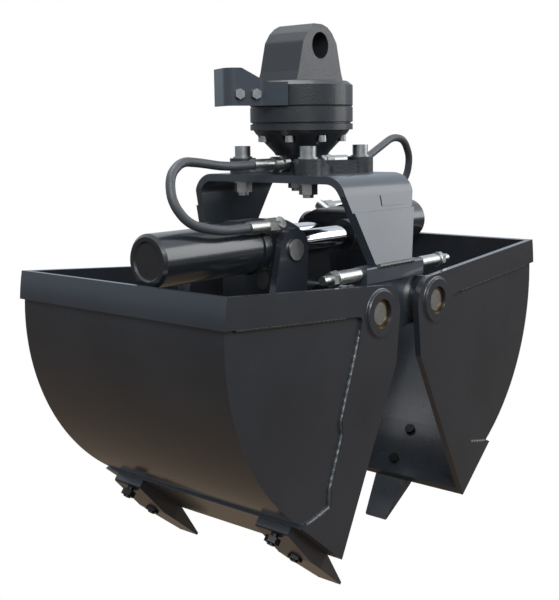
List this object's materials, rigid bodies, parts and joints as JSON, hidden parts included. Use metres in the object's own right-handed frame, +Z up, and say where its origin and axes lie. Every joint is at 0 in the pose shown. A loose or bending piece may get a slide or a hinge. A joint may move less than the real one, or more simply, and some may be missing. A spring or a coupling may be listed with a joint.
{
  "type": "clamshell bucket",
  "caption": "Hydraulic clamshell bucket on a rotator: round-backed shells hinged under a bent saddle, crossed level cylinders, side hoses and bolt-on teeth",
  "frame": {"origin": "centre of the upper link bore", "axes": "+Z up, +Y along the link bore and the shell hinges, X across the jaws with the left shell on the -X side; stored with the jaws part open"},
  "size_m": [0.9738, 0.51, 1.0105],
  "materials": {
    "housing_paint": "satin black paint over castings",
    "saddle_paint": "satin black paint over steel plate",
    "shell_paint": "satin black paint over welded plate",
    "cylinder_paint": "satin black paint over cast iron and tube",
    "rod_chrome": "ground and hard chromed",
    "zinc_steel": "bright zinc plating",
    "bush_brass": "plain bronze bush",
    "hose_rubber": "smooth dark grey cover"
  },
  "bodies": {
    "rotator_housing": {"link_housing": "housing_paint", "stator_housing": "housing_paint", "cover_bolts": "zinc_steel", "port_fittings": "zinc_steel", "hose_guard": "saddle_paint", "guard_bolts": "zinc_steel"},
    "saddle": {"rotor_flange": "housing_paint", "flange_bolts": "zinc_steel", "flange_washers": "zinc_steel", "flange_nuts": "zinc_steel", "saddle_strap": "saddle_paint", "leg_plates": "saddle_paint", "crossbars": "saddle_paint", "hinge_cheeks": "saddle_paint", "hinge_pins": "zinc_steel", "thrust_washers": "zinc_steel", "stop_bolts": "zinc_steel", "stop_sleeves": "zinc_steel", "hub_fittings": "zinc_steel", "left_hose": "hose_rubber", "right_hose": "hose_rubber"},
    "left_shell": {"left_back_plate": "shell_paint", "left_side_plates": "shell_paint", "left_front_plates": "shell_paint", "left_rim_band": "shell_paint", "left_lip_plate": "shell_paint", "left_hinge_bosses": "shell_paint", "left_hinge_bushes": "bush_brass", "left_cross_tube": "shell_paint", "left_lug_plates": "shell_paint", "left_teeth": "shell_paint", "left_tooth_bolts": "zinc_steel"},
    "left_cylinder": {"left_cylinder_head": "cylinder_paint", "left_barrel": "cylinder_paint", "left_barrel_cap": "cylinder_paint", "left_barrel_collar": "cylinder_paint", "left_piston_rod": "rod_chrome", "left_piston": "zinc_steel", "left_trunnion_pins": "zinc_steel", "left_hose_end": "zinc_steel"},
    "right_shell": {"right_back_plate": "shell_paint", "right_side_plates": "shell_paint", "right_front_plates": "shell_paint", "right_rim_band": "shell_paint", "right_lip_plate": "shell_paint", "right_hinge_bosses": "shell_paint", "right_hinge_bushes": "bush_brass", "right_cross_tube": "shell_paint", "right_lug_plates": "shell_paint", "right_teeth": "shell_paint", "right_tooth_bolts": "zinc_steel"},
    "right_cylinder": {"right_cylinder_head": "cylinder_paint", "right_barrel": "cylinder_paint", "right_barrel_cap": "cylinder_paint", "right_barrel_collar": "cylinder_paint", "right_piston_rod": "rod_chrome", "right_piston": "zinc_steel", "right_trunnion_pins": "zinc_steel", "right_hose_end": "zinc_steel"}
  },
  "joints": [
    {"name": "rotator_spin", "type": "hinge", "parent": "rotator_housing", "child": "saddle", "pos_m": [0, 0, -0.2], "axis": [0, 0, 1], "continuous": true},
    {"name": "left_shell_hinge", "type": "hinge", "parent": "saddle", "child": "left_shell", "pos_m": [-0.091, 0, -0.475], "axis": [0, 1, 0], "range_deg": [-27.2, 33], "deforming": ["left_hose", "right_hose"]},
    {"name": "right_shell_hinge", "type": "hinge", "parent": "saddle", "child": "right_shell", "pos_m": [0.091, 0, -0.475], "axis": [0, 1, 0], "range_deg": [-33, 27.2]},
    {"name": "left_cylinder_pivot", "type": "hinge", "parent": "left_shell", "child": "left_cylinder", "pos_m": [-0.15811, 0, -0.36506], "axis": [0, 1, 0], "range_deg": [-33, 27.2]},
    {"name": "right_cylinder_pivot", "type": "hinge", "parent": "right_shell", "child": "right_cylinder", "pos_m": [0.15811, 0, -0.36506], "axis": [0, 1, 0], "range_deg": [-27.2, 33]}
  ],
  "couplings": [
    {"joint": "right_shell_hinge", "follows": "left_shell_hinge", "ratio": -1},
    {"joint": "left_cylinder_pivot", "follows": "left_shell_hinge", "ratio": -1},
    {"joint": "right_cylinder_pivot", "follows": "left_shell_hinge", "ratio": 1}
  ]
}
